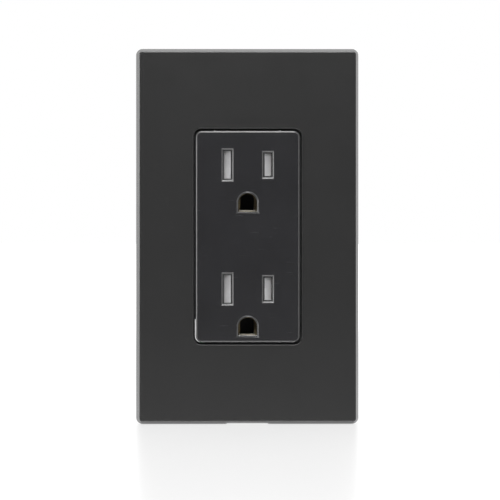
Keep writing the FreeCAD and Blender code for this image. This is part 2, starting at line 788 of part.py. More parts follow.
def seat_contacts(body):
    """Hollow out the wells of the two side strips and of the two ground clips."""
    depth = "strap_thickness + cavity_depth"
    inner = "(blade_spacing / 2 - jaw_gap / 2 - brass_thickness - body_gap)"
    outer = "(strip_outer + body_gap / 2)"
    for side in SIDES.values():
        for blades in HEIGHTS.values():
            well = section(body, "XZ_Plane", "strap_thickness")
            middle = f"{side} * ({inner} + {outer}) / 2"
            rectangle(well, middle, blades, f"{outer} - {inner}", "jaw_height + 2 * body_gap")
            pocket(body, well, depth)
        groove = section(body, "XZ_Plane", "strap_thickness")
        width = "brass_thickness + body_gap"
        middle = f"{side} * (strip_outer - brass_thickness / 2)"
        rectangle(groove, middle, "upper_blades - outlet_spacing / 2", width, "outlet_spacing")
        pocket(body, groove, depth)
    for blades in HEIGHTS.values():
        well = section(body, "XZ_Plane", "strap_thickness")
        height = "ground_base_height + body_gap"
        rectangle(well, "0", f"{blades} - ground_drop", "ground_base_width + body_gap", height)
        pocket(body, well, depth)


def open_terminals(body):
    """Open each terminal to the side of the back body, with room for its screw's tip and wires."""
    inner = "(strip_outer - brass_thickness - body_gap / 2)"
    room = "(clamp_height + 2 * body_gap)"
    for side in SIDES.values():
        for height in TERMINAL_HEIGHTS.values():
            opening = section(body, "XZ_Plane", "-terminal_start + body_gap")
            middle = f"{side} * ({inner} + face_width) / 2"
            rectangle(opening, middle, height, f"face_width - {inner}", room)
            pocket(body, opening, "cavity_depth - terminal_start + body_gap")
            tip = section(body, "XZ_Plane", "screw_radius + body_gap - terminal_depth")
            tip_end = "(strip_outer + clamp_thickness - terminal_screw_length - body_gap)"
            middle = f"{side} * ({tip_end} + {inner}) / 2"
            width = "2 * (screw_radius + body_gap)"
            rectangle(tip, middle, height, f"{inner} - {tip_end} + body_gap", width)
            pocket(body, tip, width)
        fin = section(body, "XZ_Plane", "-cavity_depth + bus_depth + body_gap")
        middle = f"{side} * ({inner} + face_width) / 2"
        rectangle(fin, middle, "0", f"face_width - {inner}", "fin_height + 4 * body_gap")
        pocket(body, fin, "bus_depth + body_gap")


def drill_back(body):
    """Drill the wire entries behind each terminal and the four screw holes with their head seats."""
    entries = section(body, "XZ_Plane", "-cavity_depth")
    across = "(strip_outer + wire_hole_radius / 2)"
    for side in SIDES.values():
        for height in TERMINAL_HEIGHTS.values():
            for step in (1, -1):
                up = f"{height} + {step} * wire_hole_spacing / 2"
                circle(entries, f"{side} * {across}", up, "wire_hole_radius")
    pocket(body, entries, "body_depth - cavity_depth")
    shanks = section(body, "XZ_Plane", "strap_thickness")
    seats = section(body, "XZ_Plane", "fixing_head_height - body_depth")
    for height in ("fixing_upper", "fixing_lower"):
        for side in SIDES.values():
            circle(shanks, f"{side} * fixing_across", height, "fixing_radius + running_gap")
            circle(seats, f"{side} * fixing_across", height, "fixing_head_radius + body_gap / 3")
    pocket(body, shanks, "strap_thickness + body_depth")
    pocket(body, seats, "fixing_head_height")


# Shutters


def make_shutter_carriers():
    """The trays behind the face in which the shutters slide, with a blade slot under each of them."""
    for end, blades in HEIGHTS.items():
        body = new_body(f"shutter_carrier_{end}")
        outline = section(body, "XZ_Plane", "strap_thickness")
        rectangle(outline, "0", blades, "carrier_width", "carrier_height")
        pad(body, outline, "face_level - face_skin - strap_thickness")
        for name, side in SIDES.items():
            room = "(shutter_inner + shutter_width + running_gap)"
            height = f"{name}_slot + shutter_overlap + 2 * running_gap"
            track = section(body, "XZ_Plane", "face_level - face_skin")
            rectangle(track, f"{side} * {room} / 2", blades, room, height)
            pocket(body, track, "face_level - face_skin - strap_thickness - carrier_floor")
            slot = section(body, "XZ_Plane", "strap_thickness + carrier_floor")
            across = f"{side} * blade_spacing / 2"
            rectangle(slot, across, blades, "slot_width", f"{name}_slot")
            pocket(body, slot, "carrier_floor")
        keep(body)


def make_shutters():
    """The four sliding shutters, each with a ramp that its blade pushes towards the middle."""
    for end, blades in HEIGHTS.items():
        for name, side in SIDES.items():
            body = new_body(f"{name}_shutter_{end}")
            height = f"({name}_slot + shutter_overlap)"
            profile = section(body, "XY_Plane", f"{blades} - {height} / 2")
            rear = "-(strap_thickness + carrier_floor + running_gap)"
            front = f"({rear} - shutter_thickness)"
            inner = f"{side} * shutter_inner"
            outer = f"{side} * (shutter_inner + shutter_width)"
            corners = [
                (inner, rear),
                (outer, rear),
                (outer, f"{rear} - shutter_lip"),
                (f"{side} * (shutter_inner + shutter_crest)", front),
                (inner, front),
            ]
            polygon(profile, corners)
            pad(body, profile, height)
            keep(body)


def make_shutter_springs():
    """The coil springs that keep each pair of shutters apart, each wound about its own +Z."""
    length = "(2 * shutter_inner - 2 * running_gap - 2 * spring_wire)"
    for end, blades in HEIGHTS.items():
        body = new_body(f"shutter_spring_{end}")
        wire = section(body, "XZ_Plane", "0")
        circle(wire, "spring_radius - spring_wire", "0", "spring_wire")
        coil = body.newObject("PartDesign::AdditiveHelix", "coil")
        coil.Profile = wire
        coil.ReferenceAxis = (wire, ["V_Axis"])
        coil.Mode = "pitch-height-angle"
        bind(coil, "Pitch", f"{length} / spring_turns")
        bind(coil, "Height", length)
        place(body, f"-{length} / 2", "-spring_level", blades, TO_RIGHT)
        keep(body)


# Current-carrying strips and terminals


def make_contact_strips():
    """The two brass strips: a jaw for each blade, a side bus with its break-off fin, and terminals."""
    for name, side in SIDES.items():
        body = new_body(f"{name}_contact_strip")
        bus_level = "-(jaw_end + brass_thickness)"
        bus_across = f"{side} * (strip_outer - brass_thickness / 2)"
        bus = section(body, "XZ_Plane", bus_level)
        length = "outlet_spacing + jaw_height"
        rectangle(bus, bus_across, "upper_blades - outlet_spacing / 2", "brass_thickness", length)
        pad(body, bus, "bus_depth")
        inner = "(blade_spacing / 2 - jaw_gap / 2 - brass_thickness)"
        link_across = f"{side} * ({inner} + strip_outer) / 2"
        for blades in HEIGHTS.values():
            link = section(body, "XZ_Plane", bus_level)
            rectangle(link, link_across, blades, f"strip_outer - {inner}", "jaw_height")
            pad(body, link, "brass_thickness")
            leaves = section(body, "XZ_Plane", bus_level)
            for step in (1, -1):
                leaf = f"(blade_spacing / 2 + {step} * (jaw_gap + brass_thickness) / 2)"
                rectangle(leaves, f"{side} * {leaf}", blades, "brass_thickness", "jaw_height")
            pad(body, leaves, "jaw_end + brass_thickness - jaw_start")
        for height in TERMINAL_HEIGHTS.values():
            plate = section(body, "XZ_Plane", bus_level)
            rectangle(plate, bus_across, height, "brass_thickness", "terminal_plate")
            pad(body, plate, "jaw_end + brass_thickness - terminal_start")
        start = "strip_outer" if side == 1 else "-strip_outer + 2 * brass_thickness"
        holes = section(body, "YZ_Plane", start)
        for height in TERMINAL_HEIGHTS.values():
            circle(holes, "terminal_depth", height, "screw_radius + running_gap")
        pocket(body, holes, "2 * brass_thickness")
        fin = section(body, "XZ_Plane", "-(jaw_end + brass_thickness) + bus_depth")
        rectangle(fin, bus_across, "0", "2 * brass_thickness", "fin_height")
        pocket(body, fin, "bus_depth - fin_depth")
        keep(body)


def make_clamp_plate(label, direction, seat, depth, up):
    """One terminal's pressure plate, lying against the side of a strip or of the strap's tab."""
    body = new_body(label)
    start = seat if direction == 1 else f"-({seat} + clamp_thickness)"
    outline = section(body, "YZ_Plane", start)
    rectangle(outline, depth, up, "clamp_length", "clamp_height")
    circle(outline, depth, up, "screw_radius + 2 * running_gap")
    pad(body, outline, "clamp_thickness")
    keep(body)


def make_terminal_screw(label, direction, seat, depth, up):
    """One terminal's binding screw, which carries its pressure plate in and out."""
    size = ("terminal_head_radius", "terminal_head_height", "screw_radius", "terminal_screw_length")
    screw = make_screw(label, *size)
    across = f"{direction} * ({seat} + clamp_thickness)"
    place(screw, across, depth, up, TO_RIGHT if direction == 1 else TO_LEFT)
    keep(screw)


def make_terminals():
    """The four side terminals and the ground terminal."""
    for name, side in SIDES.items():
        for end, height in TERMINAL_HEIGHTS.items():
            spot = (side, "strip_outer", "terminal_depth", height)
            make_clamp_plate(f"{name}_clamp_plate_{end}", *spot)
            make_terminal_screw(f"{name}_terminal_screw_{end}", *spot)
    spot = (-1, "ground_tab_outer", "ground_screw_depth", "ground_tab_centre")
    make_clamp_plate("ground_clamp_plate", *spot)
    make_terminal_screw("ground_screw", *spot)


def check_and_write():
    """Recompute, refuse anything broken, and write one file for each sub-part."""
    doc.recompute()
    for thing in doc.Objects:
        if "Invalid" in thing.State or "Error" in thing.State:
            raise RuntimeError(f"{thing.Name} failed to recompute: {thing.State}")
    for piece in pieces:
        if piece.Shape.isNull() or not piece.Shape.isValid():
            raise RuntimeError(f"{piece.Label} has no valid shape")
    os.makedirs("parts", exist_ok=True)
    for piece in pieces:
        piece.Shape.exportStep(f"parts/{piece.Label}.step")
        print(f"{piece.Label}: {len(piece.Shape.Solids)} solids, {piece.Shape.Volume:.1f} mm3")


fill_sheet()
make_cover()
make_mounting_plate()
make_strap_screws()
make_screw_retainers()
make_strap()
make_ground_contacts()
make_ground_rivets()
make_face()
make_back_body()
make_body_screws()
make_shutter_carriers()
make_shutters()
make_shutter_springs()
make_contact_strips()
make_terminals()
check_and_write()
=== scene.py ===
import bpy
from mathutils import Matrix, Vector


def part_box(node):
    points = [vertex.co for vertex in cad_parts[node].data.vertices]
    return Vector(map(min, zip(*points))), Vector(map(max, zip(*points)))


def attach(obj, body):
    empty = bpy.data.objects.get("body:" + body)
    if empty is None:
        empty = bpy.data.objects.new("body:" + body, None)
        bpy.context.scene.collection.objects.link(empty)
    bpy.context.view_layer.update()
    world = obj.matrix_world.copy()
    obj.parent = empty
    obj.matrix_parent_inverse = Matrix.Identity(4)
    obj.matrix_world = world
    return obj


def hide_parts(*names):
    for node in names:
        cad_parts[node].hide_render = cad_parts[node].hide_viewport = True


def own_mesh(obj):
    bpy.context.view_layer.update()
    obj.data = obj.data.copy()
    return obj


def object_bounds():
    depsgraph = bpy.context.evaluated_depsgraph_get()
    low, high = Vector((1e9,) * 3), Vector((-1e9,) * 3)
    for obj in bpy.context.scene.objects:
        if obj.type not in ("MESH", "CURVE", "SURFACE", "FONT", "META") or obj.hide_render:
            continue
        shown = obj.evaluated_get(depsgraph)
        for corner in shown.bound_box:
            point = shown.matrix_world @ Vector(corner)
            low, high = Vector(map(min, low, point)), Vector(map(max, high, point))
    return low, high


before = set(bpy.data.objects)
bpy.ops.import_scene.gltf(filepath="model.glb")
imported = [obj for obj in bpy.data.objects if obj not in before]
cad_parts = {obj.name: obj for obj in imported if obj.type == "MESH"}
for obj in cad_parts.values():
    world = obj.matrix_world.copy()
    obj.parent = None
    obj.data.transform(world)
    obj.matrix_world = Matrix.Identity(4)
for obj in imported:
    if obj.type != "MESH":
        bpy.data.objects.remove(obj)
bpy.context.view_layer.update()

import math

import bmesh
import bpy
from mathutils import Matrix, Vector


# ---------------------------------------------------------------------------------------------
# Strap: one stamping of zinc-plated steel that carries the whole device. It is blanked, its
# tab is folded back for the ground screw, and its plating shows a faint blue and straw bloom.

MM = 0.001


class Signal:
    """One output of a material's nodes. Arithmetic adds Math nodes and make() adds any other."""

    def __init__(self, tree, socket=None):
        self.tree = tree
        self.socket = socket

    def make(self, kind, settings, sockets, output=0):
        """Add a node: its type, its settings, then the values or links of its sockets."""
        node = self.tree.nodes.new("ShaderNode" + kind)
        for name, setting in settings.items():
            if name == "stops":
                ramp = node.color_ramp.elements
                while len(ramp) < len(setting):
                    ramp.new(1.0)
                for stop, (position, colour) in zip(ramp, setting):
                    stop.position = position
                    stop.color = (*colour, 1.0)
            else:
                setattr(node, name, setting)
        for name, given in sockets.items():
            if isinstance(given, Signal):
                self.tree.links.new(given.socket, node.inputs[name])
            else:
                node.inputs[name].default_value = given
        return Signal(self.tree, node.outputs[output])

    def math(self, operation, *operands):
        """Add a Math node that works on these operands in order."""
        return self.make("Math", {"operation": operation}, dict(enumerate(operands)))

    def __add__(self, other):
        return self.math("ADD", self, other)

    def __radd__(self, other):
        return self.math("ADD", other, self)

    def __sub__(self, other):
        return self.math("SUBTRACT", self, other)

    def __rsub__(self, other):
        return self.math("SUBTRACT", other, self)

    def __mul__(self, other):
        return self.math("MULTIPLY", self, other)

    def __rmul__(self, other):
        return self.math("MULTIPLY", other, self)

    def __abs__(self):
        return self.math("ABSOLUTE", self)

    def split(self):
        """Take a vector apart into its X, Y and Z."""
        return [self.make("SeparateXYZ", {}, {"Vector": self}, output=n) for n in range(3)]

    def most(self, other):
        """Take the larger of two values."""
        return self.math("MAXIMUM", self, other)

    def step(self, low, high):
        """Rise smoothly from 0 at low to 1 at high."""
        ranges = {"From Min": low, "From Max": high, "Value": self}
        return self.make("MapRange", {"interpolation_type": "SMOOTHSTEP"}, ranges)

    def between(self, first, second):
        """Mix two colours by this mask."""
        return self.make("Mix", {"data_type": "RGBA"}, {0: self, 6: first, 7: second}, output=2)


def start_material(name):
    """Make an empty material and return it with the place of each point in metres."""
    material = bpy.data.materials.new(name)
    material.use_nodes = True
    material.node_tree.nodes.clear()
    start = Signal(material.node_tree)
    return material, start.make("TexCoord", {}, {}, output=3)


def noise(place, scale, detail=3.0, roughness=0.55, stretch=(1.0, 1.0, 1.0)):
    """A noise that can be drawn out along one axis, about 0.5 on average."""
    moved = place.make("Mapping", {"vector_type": "TEXTURE"}, {"Vector": place, "Scale": stretch})
    sockets = {"Vector": moved, "Scale": scale, "Detail": detail, "Roughness": roughness}
    return place.make("TexNoise", {}, sockets)


def finish_material(material, height, depth, sockets):
    """Close a material with a Principled shader over one bump whose height is in metres."""
    bump = height.make("Bump", {}, {"Height": height, "Distance": depth, "Strength": 1.0})
    shader = height.make("BsdfPrincipled", {}, {**sockets, "Normal": bump})
    close_output(material, shader)
    return material


def close_output(material, shader):
    """Link a shader to the material's output."""
    output = material.node_tree.nodes.new("ShaderNodeOutputMaterial")
    material.node_tree.links.new(shader.socket, output.inputs["Surface"])


def zinc_plate(name, grain_stretch):
    """Bright zinc plating: drawn grain, a faint coloured bloom, dull spots and light scratches."""
    material, place = start_material(name)
    grain = noise(place, 900.0, 4.0, 0.7, grain_stretch)
    bloom = noise(place, 70.0, 4.0)
    spots = noise(place, 420.0, 5.0, 0.65).step(0.6, 0.74)
    scratch = noise(place, 1500.0, 2.0, 0.6, (14.0, 1.0, 0.6)).step(0.66, 0.74)
    tint = bloom.make("ValToRGB", {"stops": [
        (0.30, (0.56, 0.60, 0.66)),
        (0.48, (0.66, 0.67, 0.68)),
        (0.60, (0.70, 0.68, 0.62)),
        (0.74, (0.60, 0.64, 0.70)),
    ]}, {"Fac": bloom})
    colour = (spots * 0.5).between(tint, (0.42, 0.43, 0.44, 1.0))
    rough = 0.26 + 0.16 * grain + 0.16 * spots + 0.10 * scratch
    height = 0.6 * grain - 0.5 * scratch - 0.25 * spots
    sockets = {"Base Color": colour, "Metallic": 1.0, "Roughness": rough}
    return finish_material(material, height, 0.006 * MM, sockets)


def soften(node, width, merge_flats=True):
    """Break a stamped or moulded piece's sharp edges by a small radius."""
    weld = node.modifiers.new("weld", "WELD")
    weld.merge_threshold = 0.002 * MM
    if merge_flats:
        flat = node.modifiers.new("flats", "DECIMATE")
        flat.decimate_type = "DISSOLVE"
        flat.angle_limit = math.radians(0.6)
    bevel = node.modifiers.new("broken_edges", "BEVEL")
    bevel.width = width
    bevel.segments = 2
    bevel.use_clamp_overlap = merge_flats
    bevel.limit_method = "ANGLE"
    bevel.angle_limit = math.radians(38)
    flush = node.modifiers.new("flat_faces", "WEIGHTED_NORMAL")
    flush.weight = 100
    for face in node.data.polygons:
        face.use_smooth = True


def finish_node(name, material, width, merge_flats=True):
    """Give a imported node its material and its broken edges."""
    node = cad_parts[name]
    node.data.materials.clear()
    node.data.materials.append(material)
    soften(node, width, merge_flats)


strap_zinc = zinc_plate("strap_zinc", (1.0, 1.0, 12.0))
finish_node("strap", strap_zinc, 0.12 * MM, merge_flats=False)


# ---------------------------------------------------------------------------------------------
# Brass: the ground clips riveted behind the strap, and the two side strips with their jaws,
# terminals and break-off fins. All are stamped from half-hard strip and left unplated.

SIDES = {"hot": 1, "neutral": -1}
ENDS = ("upper", "lower")


def stamped_brass():
    """Bare strip brass: rolling grain, darker handled patches and small rough flecks."""
    material, place = start_material("stamped_brass")
    grain = noise(place, 1100.0, 4.0, 0.7, (1.0, 1.0, 10.0))
    handled = noise(place, 130.0, 5.0, 0.6).step(0.45, 0.72)
    fleck = noise(place, 900.0, 3.0).step(0.62, 0.72)
    clean = grain.between((0.86, 0.63, 0.28, 1.0), (0.70, 0.49, 0.20, 1.0))
    colour = (0.65 * handled).between(clean, (0.44, 0.27, 0.11, 1.0))
    rough = 0.24 + 0.14 * grain + 0.16 * handled + 0.08 * fleck
    height = 0.6 * grain - 0.4 * fleck
    sockets = {"Base Color": colour, "Metallic": 1.0, "Roughness": rough}
    return finish_material(material, height, 0.006 * MM, sockets)


def clip_brass(name, box):
    """Brown brass of a ground clip, tarnished at random and darkened as painted shade of the deep ground
    hole, with a pale painted highlight on the ledge that the round pin slides over.
    """
    material, place = start_material(name)
    low, high = box
    x, _, z = place.split()
    grain = noise(place, 1100.0, 4.0, 0.7, (1.0, 1.0, 8.0))
    tarnish = noise(place, 260.0, 5.0, 0.6).step(0.40, 0.66)
    drop = (low.z + high.z) / 2 - z
    # A pale band on the ledge below the pin is a painted highlight.
    ledge = drop.step(2.05 * MM, 2.30 * MM) * (1 - drop.step(2.62 * MM, 2.80 * MM))
    wear_and_painted_highlight = ledge * (1 - abs(x).step(2.3 * MM, 2.7 * MM)) * (0.55 + 0.45 * grain)
    # Both browns lie well below bare brass: painted shade of the deep hole, over a random tarnish.
    dull = tarnish.between((0.17, 0.14, 0.085, 1.0), (0.075, 0.06, 0.04, 1.0))
    colour = wear_and_painted_highlight.between(dull, (0.50, 0.47, 0.40, 1.0))
    rough = 0.46 + 0.14 * tarnish + 0.08 * grain - 0.10 * wear_and_painted_highlight
    sockets = {"Base Color": colour, "Metallic": 1.0, "Roughness": rough}
    return finish_material(material, 0.5 * grain - 0.3 * tarnish, 0.008 * MM, sockets)


brass = stamped_brass()
for end in ENDS:
    clip = f"ground_contact_{end}"
    finish_node(clip, clip_brass(f"clip_brass_{end}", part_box(clip)), 0.08 * MM)
for side in SIDES:
    finish_node(f"{side}_contact_strip", brass, 0.08 * MM)
finish_node("ground_rivets", brass, 0.08 * MM)


# ---------------------------------------------------------------------------------------------
# Back body: a block of black glass-filled nylon, moulded with its pockets open to the sides.
# The surface is matt, with grey fibres near it, a faint flow pattern and rubbed edges.


def front_facing(place):
    """How squarely each point of a surface faces along Y, from its normal."""
    return abs(place.make("TexCoord", {}, {}, output=1).split()[1])


def bevels(place):
    """A mask of the slanting surfaces between the front and the walls."""
    facing = front_facing(place)
    return facing.step(0.42, 0.55) * (1 - facing.step(0.955, 0.995))


def walls(place):
    """A mask of the walls that run inwards from the front, inside the cover's opening: they are made matt and
    painted near black, as painted shade in the gaps and slots.
    """
    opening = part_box("face")[1] + Vector((1.0, 0.0, 1.05)) * MM
    soft = 0.5 * MM
    x, _, z = place.split()
    across = 1 - abs(x).step(opening.x, opening.x + soft)
    upward = 1 - abs(z).step(opening.z, opening.z + soft)
    return across * upward * (1 - front_facing(place).step(0.36, 0.46))


def rim(place, low, high, reach):
    """A mask that rises towards the outer edges of a box, seen along Y."""
    x, _, z = place.split()
    marks = []
    for axis, bottom, top in ((x, low.x, high.x), (z, low.z, high.z)):
        middle = (bottom + top) / 2
        half = (top - bottom) / 2
        marks.append(abs(axis - middle).step(half - reach, half))
    return marks[0].most(marks[1])


def glass_nylon(name, shade, box, reach):
    """Matt filled nylon for a piece that fills a box."""
    material, place = start_material(name)
    flow = noise(place, 55.0, 5.0, 0.6, (1.0, 1.0, 2.5))
    fibres = noise(place, 2600.0, 2.0, 0.8, (5.0, 1.0, 1.0)).step(0.60, 0.75)
    texture = noise(place, 1900.0, 3.0, 0.7)
    wear_and_painted_highlight = rim(place, *box, reach) * noise(place, 350.0, 4.0).step(0.42, 0.62)
    dark = tuple(level * 0.75 for level in shade)
    base = flow.between((*dark, 1.0), (*shade, 1.0))
    flecked = (0.35 * fibres).between(base, (0.13, 0.13, 0.13, 1.0))
    colour = (0.5 * wear_and_painted_highlight).between(flecked, (0.09, 0.09, 0.09, 1.0))
    rough = 0.50 + 0.12 * flow + 0.10 * texture - 0.14 * wear_and_painted_highlight
    height = texture + 0.4 * fibres
    sockets = {"Base Color": colour, "Roughness": rough, "IOR": 1.52}
    return finish_material(material, height, 0.018 * MM, sockets)


body_nylon = glass_nylon("body_nylon", (0.020, 0.020, 0.021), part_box("back_body"), 0.7 * MM)
finish_node("back_body", body_nylon, 0.18 * MM)


# ---------------------------------------------------------------------------------------------
# Terminals: each has a serrated pressure plate that bites the bare wire and a binding screw
# with a combined slot and cross. Brass-coloured screws mark the hot side, bright ones neutral.

SCREW_PITCH = 0.79375 * MM
THREAD_CREST = 1.74 * MM
THREAD_ROOT = 1.30 * MM


def lathe(outline, steps=40):
    """Turn a half outline of (radius, height) points, closed on the axis at both ends."""
    points = []
    faces = []
    for radius, height in outline:
        for step in range(steps):
            angle = math.tau * step / steps
            points.append((radius * math.cos(angle), radius * math.sin(angle), height))
    for row in range(len(outline) - 1):
        for step in range(steps):
            following = (step + 1) % steps
            low = row * steps
            high = low + steps
            faces.append((low + step, low + following, high + following, high + step))
    return solid_mesh(points, faces)


def solid_mesh(points, faces):
    """Make a mesh from points and faces, join points that coincide and turn faces outward."""
    shape = bmesh.new()
    corners = [shape.verts.new(point) for point in points]
    for face in faces:
        if len({points[corner] for corner in face}) > 2:
            shape.faces.new([corners[corner] for corner in face])
    bmesh.ops.remove_doubles(shape, verts=shape.verts, dist=1e-7)
    bmesh.ops.dissolve_degenerate(shape, edges=shape.edges, dist=1e-7)
    bmesh.ops.recalc_face_normals(shape, faces=shape.faces)
    mesh = bpy.data.meshes.new("solid")
    shape.to_mesh(mesh)
    shape.free()
    return mesh


def thread(start, end, tip_length, steps=28):
    """A right-hand thread between two heights, tapered over its last stretch and capped."""
    profile = [(0.0, THREAD_CREST), (0.14, THREAD_CREST), (0.48, THREAD_ROOT), (0.66, THREAD_ROOT)]
    turns = math.ceil((start - end) / SCREW_PITCH) + 4
    rows = turns * len(profile)
    points = []
    for row in range(rows):
        share, radius = profile[row % len(profile)]
        for step in range(steps):
            lead = row // len(profile) - 2 + share + step / steps
            height = end + lead * SCREW_PITCH
            taper = THREAD_ROOT * 0.72 + max(height - end, 0.0) * 0.8
            reach = min(radius, taper) if height < end + tip_length else radius
            angle = math.tau * step / steps
            height = min(max(height, end), start)
            reach = min(reach, THREAD_ROOT * 0.72) if height <= end else reach
            points.append((reach * math.cos(angle), reach * math.sin(angle), height))
    faces = []
    for row in range(rows - len(profile) - 1):
        for step in range(steps):
            low = row * steps + step
            following = low + 1 if step + 1 < steps else (row + len(profile)) * steps
            faces.append((low, following, following + steps, low + steps))
    centre = len(points)
    points += [(0.0, 0.0, end), (0.0, 0.0, start)]
    last = (rows - len(profile) - 1) * steps
    for step in range(steps):
        following = (step + 1) % steps
        faces.append((centre, following, step))
        faces.append((centre + 1, last + step, last + following))
    return solid_mesh(points, faces)


def box_mesh(low, high, lean=0.0):
    """A block between two corners whose lower end is narrower by lean on every side."""
    points = []
    for up in (0, 1):
        shrink = lean if up == 0 else 0.0
        for across, along in ((0, 0), (1, 0), (1, 1), (0, 1)):
            x = (low[0] + shrink, high[0] - shrink)[across]
            y = (low[1] + shrink, high[1] - shrink)[along]
            points.append((x, y, (low[2], high[2])[up]))
    sides = [(n, (n + 1) % 4, (n + 1) % 4 + 4, n + 4) for n in range(4)]
    return solid_mesh(points, [(3, 2, 1, 0), (4, 5, 6, 7), *sides])


def cut(mesh, cutters):
    """Cut blocks or turned shapes out of a mesh."""
    piece = bpy.data.objects.new("blank", mesh)
    bpy.context.scene.collection.objects.link(piece)
    tools = []
    for cutter in cutters:
        tool = bpy.data.objects.new("tool", cutter)
        bpy.context.scene.collection.objects.link(tool)
        step = piece.modifiers.new("cut", "BOOLEAN")
        step.operation = "DIFFERENCE"
        step.solver = "EXACT"
        step.object = tool
        tools.append(tool)
    bpy.context.view_layer.update()
    evaluated = piece.evaluated_get(bpy.context.evaluated_depsgraph_get())
    result = bpy.data.meshes.new_from_object(evaluated)
    for thing in (piece, *tools):
        bpy.data.objects.remove(thing)
    return result


def join(meshes):
    """Put several meshes into one."""
    shape = bmesh.new()
    for mesh in meshes:
        shape.from_mesh(mesh)
    joined = bpy.data.meshes.new("joined")
    shape.to_mesh(joined)
    shape.free()
    return joined


def cross_and_slot(radius, top, depth, slot_width):
    """The tools that sink a screw head's cross and the straight slot through it."""
    wing = radius * 0.56
    half = radius * 0.15
    lift = 0.2 * MM
    slot = slot_width / 2
    lean = half * 0.55
    return [
        box_mesh((-wing, -half, top - depth), (wing, half, top + lift), lean),
        box_mesh((-half, -wing, top - depth), (half, wing, top + lift), lean),
        box_mesh((-2 * radius, -slot, top - depth * 0.5), (2 * radius, slot, top + lift)),
    ]


def place_piece(name, mesh, material, seat, direction, body, width=0.05 * MM):
    """Stand a piece made about its own +Z on a seat, facing a direction, and let it ride."""
    turn = Vector((0.0, 0.0, 1.0)).rotation_difference(Vector(direction)).to_matrix().to_4x4()
    mesh.transform(Matrix.Translation(Vector(seat)) @ turn)
    mesh.name = name
    mesh.materials.clear()
    mesh.materials.append(material)
    piece = bpy.data.objects.new(name, mesh)
    bpy.context.scene.collection.objects.link(piece)
    for face in mesh.polygons:
        face.use_smooth = True
    bevel = piece.modifiers.new("broken_edges", "BEVEL")
    bevel.width = width
    bevel.segments = 2
    bevel.limit_method = "ANGLE"
    bevel.angle_limit = math.radians(42)
    flush = piece.modifiers.new("flat_faces", "WEIGHTED_NORMAL")
    flush.weight = 100
    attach(piece, body)
    return piece


def binding_head(radius, height):
    """The half outline of a binding screw's head: a flat seat, a short wall and a low dome."""
    wall = height * 0.5
    arc = [(radius * math.sin(a), wall + (height - wall) * math.cos(a)) for a in
           (math.pi / 2 * n / 6 for n in range(6, -1, -1))]
    return [(0.0, 0.0), (radius, 0.0), *arc]


def plated_screw(name, bright, dull, metallic=1.0):
    """A plated screw: turned rings, dull stains and small nicks."""
    material, place = start_material(name)
    turned = noise(place, 2600.0, 3.0, 0.7, (1.0, 1.0, 1.0))
    stain = noise(place, 240.0, 4.0, 0.6).step(0.42, 0.72)
    nick = noise(place, 1300.0, 3.0).step(0.64, 0.72)
    colour = (0.6 * stain).between((*bright, 1.0), (*dull, 1.0))
    rough = 0.22 + 0.14 * turned + 0.18 * stain
    sockets = {"Base Color": colour, "Metallic": metallic, "Roughness": rough}
    return finish_material(material, 0.5 * turned - nick, 0.008 * MM, sockets)


def serrated_plate(length, height, thickness):
    """A pressure plate: grooves across its biting face, lips bent outward and a screw hole."""
    teeth = 9
    lip = 0.35 * MM
    outline = []
    for tooth in range(teeth):
        low = -height / 2 + height * tooth / teeth
        outline.append((low, 0.0))
        outline.append((low + height / teeth * 0.5, 0.16 * MM))
    outline.append((height / 2, 0.0))
    outline.append((height / 2, thickness))
    outline.append((height / 2 - lip, thickness))
    outline.append((height / 2 - 2 * lip, thickness * 0.8))
    outline.append((-height / 2 + 2 * lip, thickness * 0.8))
    outline.append((-height / 2 + lip, thickness))
    outline.append((-height / 2, thickness))
    count = len(outline)
    points = [(along, across, up) for along in (-length / 2, length / 2) for across, up in outline]
    faces = [(n, (n + 1) % count, (n + 1) % count + count, n + count) for n in range(count)]
    faces += [tuple(range(count)), tuple(range(2 * count - 1, count - 1, -1))]
    hole = [(0.0, -MM), (1.86 * MM, -MM), (1.86 * MM, 2 * thickness), (0.0, 2 * thickness)]
    return cut(solid_mesh(points, faces), [lathe(hole)])


terminal_finish = {
    "hot": plated_screw("hot_screw_brass", (0.84, 0.62, 0.27), (0.50, 0.32, 0.12)),
    "neutral": plated_screw("neutral_screw_nickel", (0.74, 0.73, 0.70), (0.46, 0.45, 0.43)),
    "ground": plated_screw("ground_screw_green", (0.05, 0.30, 0.12), (0.02, 0.13, 0.05), 0.85),
}
clamp_zinc = zinc_plate("clamp_zinc", (1.0, 6.0, 1.0))


def make_terminal(prefix, suffix, direction):
    """One terminal's plate and screw, in place of their plain solids."""
    low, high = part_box(f"{prefix}_clamp_plate{suffix}")
    middle = (low + high) / 2
    thickness = high.x - low.x
    seat = Vector((middle.x - direction * thickness / 2, middle.y, middle.z))
    plate = serrated_plate(high.y - low.y, high.z - low.z, thickness)
    plate_name = f"serrated_{prefix}_plate{suffix}"
    piece = place_piece(plate_name, plate, clamp_zinc, seat, (direction, 0, 0), f"{prefix}_clamp{suffix}")
    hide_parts(f"{prefix}_clamp_plate{suffix}")
    node = f"{prefix}_terminal_screw{suffix}" if suffix else f"{prefix}_screw"
    low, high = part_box(node)
    radius = (high.z - low.z) / 2
    seat = Vector((middle.x + direction * thickness / 2, middle.y, middle.z))
    top = (high.x if direction > 0 else -low.x) - abs(seat.x)
    tip = abs(seat.x) - (low.x if direction > 0 else -high.x)
    head = cut(lathe(binding_head(radius, top)), cross_and_slot(radius, top, top * 0.62, 0.9 * MM))
    screw = join([head, thread(0.1 * MM, -tip, 0.8 * MM)])
    finish = terminal_finish[prefix]
    piece = place_piece(f"threaded_{node}", screw, finish, seat, (direction, 0, 0), f"{prefix}_screw{suffix}")
    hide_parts(node)


for side, direction in SIDES.items():
    for end in ENDS:
        make_terminal(side, f"_{end}", direction)
make_terminal("ground", "", -1)


# ---------------------------------------------------------------------------------------------
# Shutters: light grey acetal sliders in natural nylon trays behind the face. A fine steel
# spring between each pair holds them over the blade slots until both are pushed together.


